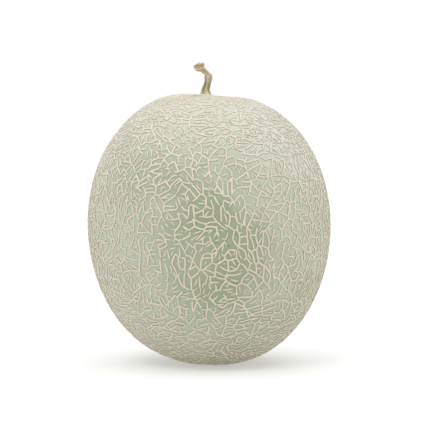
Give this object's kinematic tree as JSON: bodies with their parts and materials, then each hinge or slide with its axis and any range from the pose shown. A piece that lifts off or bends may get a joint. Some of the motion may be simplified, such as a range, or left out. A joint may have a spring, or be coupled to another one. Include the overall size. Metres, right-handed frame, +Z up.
{
  "type": "netted melon",
  "caption": "Whole netted melon standing on its blossom end: a blunt oval fruit with a corky net over a grey-green rind, and a short bent dried stalk with a flared cut end.",
  "frame": {"origin": "on the surface that the melon stands on, under the middle of its widest ring", "axes": "+Z up through the stalk end, -Y the front, +X to the right seen from the front"},
  "size_m": [0.1504, 0.1495, 0.1865],
  "materials": {
    "rind": "matt grey-green melon rind with a faint waxy sheen, greener in the middle of the front and creamier towards the stalk end, with tiny dark specks",
    "netting": "raised corky net, dry and matt, cream with a little tan where strands meet",
    "stalk": "dried ribbed stalk, matt, yellow-green at the foot, dark brown streaks above it, tan higher up, with a pale rim round the cut end"
  },
  "bodies": {
    "root": {"fruit": "rind", "stalk": "stalk"}
  },
  "joints": []
}
